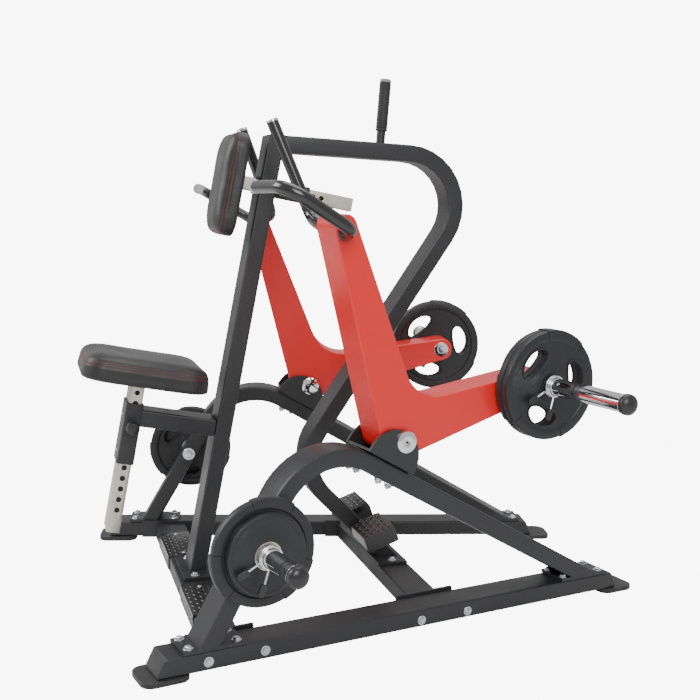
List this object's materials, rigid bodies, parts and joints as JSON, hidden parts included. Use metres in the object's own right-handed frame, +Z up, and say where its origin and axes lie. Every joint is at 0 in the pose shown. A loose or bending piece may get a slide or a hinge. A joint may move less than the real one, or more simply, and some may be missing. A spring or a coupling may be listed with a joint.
{
  "type": "plate loaded seated row",
  "caption": "Seated row machine with two independent plate loaded lever arms, splayed base, adjustable seat and chest pad.",
  "frame": {"origin": "on the floor under the centre of the bounding box", "axes": "+X the way the user faces, +Y to the user's left, +Z up"},
  "size_m": [1.6808, 1.6148, 1.5616],
  "materials": {
    "powder_black": "satin fine texture powder coat",
    "powder_red": "smooth gloss powder coat",
    "gloss_black": "smooth gloss black coated tube",
    "plated_cream": "satin plated telescoping tube",
    "chrome": "polished",
    "rubber": "matte moulded rubber",
    "plate_rubber": "rubber coated weight plate",
    "vinyl": "soft black vinyl upholstery over foam",
    "tread": "glossy black chequered tread plate",
    "knob_black": "black knob"
  },
  "bodies": {
    "frame": {"main_post": "powder_black", "seat_strut": "powder_black", "centre_loop": "powder_black", "stabiliser_stub": "powder_black", "stabiliser_grip": "rubber", "pad_sleeve": "powder_black", "front_cross_member": "powder_black", "rear_cross_member": "powder_black", "right_base_rail": "powder_black", "right_rear_foot": "rubber", "right_front_foot": "rubber", "right_tread_cover": "tread", "right_foot_peg": "powder_black", "right_arch": "powder_black", "right_pivot_bracket": "powder_black", "right_stop_buffer": "rubber", "right_pivot_shaft": "chrome", "right_storage_horn": "chrome", "right_storage_cap": "rubber", "left_base_rail": "powder_black", "left_rear_foot": "rubber", "left_front_foot": "rubber", "left_tread_cover": "tread", "left_foot_peg": "powder_black", "left_arch": "powder_black", "left_pivot_bracket": "powder_black", "left_stop_buffer": "rubber", "left_pivot_shaft": "chrome", "left_storage_horn": "chrome", "left_storage_cap": "rubber"},
    "seat": {"seat_post": "plated_cream", "seat_plate": "powder_black", "seat_cushion": "vinyl"},
    "seat_pin": {"seat_pin": "knob_black"},
    "chest_support": {"pad_tube": "plated_cream", "pad_bracket": "powder_black", "chest_pad": "vinyl"},
    "pad_pin": {"pad_pin": "knob_black"},
    "right_lever": {"right_arm": "powder_red", "right_arm_horn": "chrome", "right_arm_cap": "rubber", "right_cross_grip": "gloss_black", "right_upright_grip": "gloss_black"},
    "right_arm_plates": {"right_arm_inner_plate": "plate_rubber", "right_arm_outer_plate": "plate_rubber"},
    "right_arm_collar": {"right_arm_collar": "chrome"},
    "right_stored_plates": {"right_stored_large_plate": "plate_rubber", "right_stored_small_plate": "plate_rubber"},
    "right_store_collar": {"right_store_collar": "chrome"},
    "left_lever": {"left_arm": "powder_red", "left_arm_horn": "chrome", "left_arm_cap": "rubber", "left_cross_grip": "gloss_black", "left_upright_grip": "gloss_black"},
    "left_arm_plates": {"left_arm_inner_plate": "plate_rubber", "left_arm_outer_plate": "plate_rubber"},
    "left_arm_collar": {"left_arm_collar": "chrome"},
    "left_stored_plates": {"left_stored_large_plate": "plate_rubber", "left_stored_small_plate": "plate_rubber"},
    "left_store_collar": {"left_store_collar": "chrome"}
  },
  "joints": [
    {"name": "right_lever_pivot", "type": "hinge", "parent": "frame", "child": "right_lever", "pos_m": [-0.02746, -0.43956, 0.556], "axis": [-0.2079, 0.9781, 0], "range_deg": [-6, 35.5]},
    {"name": "right_arm_plates_slide", "type": "slide", "parent": "right_lever", "child": "right_arm_plates", "axis": [0.2079, -0.9781, 0], "range_m": [0, 0.13]},
    {"name": "right_arm_collar_slide", "type": "slide", "parent": "right_arm_plates", "child": "right_arm_collar", "axis": [0.2079, -0.9781, 0], "range_m": [0, 0.13]},
    {"name": "right_stored_plates_slide", "type": "slide", "parent": "frame", "child": "right_stored_plates", "axis": [0.2079, -0.9781, 0], "range_m": [0, 0.065]},
    {"name": "right_store_collar_slide", "type": "slide", "parent": "right_stored_plates", "child": "right_store_collar", "axis": [0.2079, -0.9781, 0], "range_m": [0, 0.065]},
    {"name": "left_lever_pivot", "type": "hinge", "parent": "frame", "child": "left_lever", "pos_m": [-0.02746, 0.43956, 0.556], "axis": [0.2079, 0.9781, 0], "range_deg": [-6, 35.5]},
    {"name": "left_arm_plates_slide", "type": "slide", "parent": "left_lever", "child": "left_arm_plates", "axis": [0.2079, 0.9781, 0], "range_m": [0, 0.13]},
    {"name": "left_arm_collar_slide", "type": "slide", "parent": "left_arm_plates", "child": "left_arm_collar", "axis": [0.2079, 0.9781, 0], "range_m": [0, 0.13]},
    {"name": "left_stored_plates_slide", "type": "slide", "parent": "frame", "child": "left_stored_plates", "axis": [0.2079, 0.9781, 0], "range_m": [0, 0.065]},
    {"name": "left_store_collar_slide", "type": "slide", "parent": "left_stored_plates", "child": "left_store_collar", "axis": [0.2079, 0.9781, 0], "range_m": [0, 0.065]},
    {"name": "seat_height", "type": "slide", "parent": "frame", "child": "seat", "axis": [0.1702, 0, 0.9854], "range_m": [-0.032, 0.192]},
    {"name": "seat_pin_pull", "type": "slide", "parent": "frame", "child": "seat_pin", "axis": [0, -1, 0], "range_m": [0, 0.014], "stiffness_N_per_m": 900, "springref_m": -0.004},
    {"name": "chest_pad_reach", "type": "slide", "parent": "frame", "child": "chest_support", "axis": [0.9854, 0, -0.1702], "range_m": [-0.104, 0.026]},
    {"name": "pad_pin_pull", "type": "slide", "parent": "frame", "child": "pad_pin", "axis": [0, -1, 0], "range_m": [0, 0.012], "stiffness_N_per_m": 900, "springref_m": -0.004}
  ]
}
